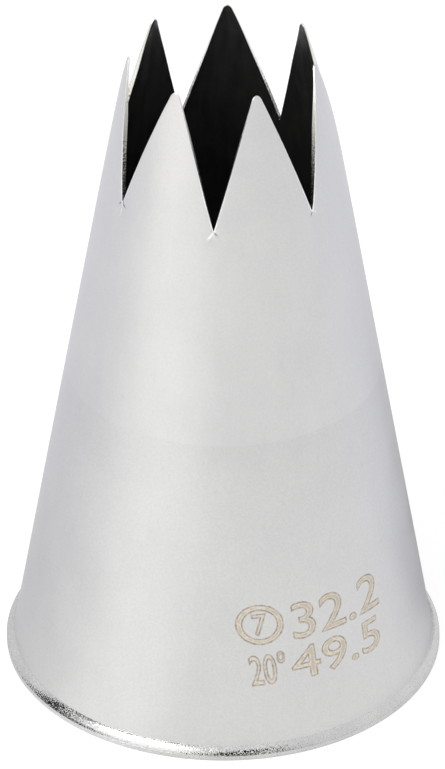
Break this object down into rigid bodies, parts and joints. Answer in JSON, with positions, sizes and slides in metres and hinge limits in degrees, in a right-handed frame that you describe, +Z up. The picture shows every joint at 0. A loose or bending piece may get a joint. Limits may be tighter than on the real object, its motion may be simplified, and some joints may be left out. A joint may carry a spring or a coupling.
{
  "type": "piping nozzle",
  "caption": "Open star piping nozzle: a tapering sheet steel cone with pointed teeth round the tip and a small flared rim at the wide end.",
  "frame": {"origin": "centre of the flat underside of the foot", "axes": "+Z up the axis to the tip; -Y looks straight at the middle of one of the cuts between the teeth"},
  "size_m": [0.0322, 0.0322, 0.0495],
  "materials": {
    "satin_steel": "fine satin",
    "polished_steel": "bright, as pressed and polished"
  },
  "bodies": {
    "root": {"toothed_cone": "satin_steel", "lower_cone": "satin_steel", "flared_rim": "polished_steel"}
  },
  "joints": []
}
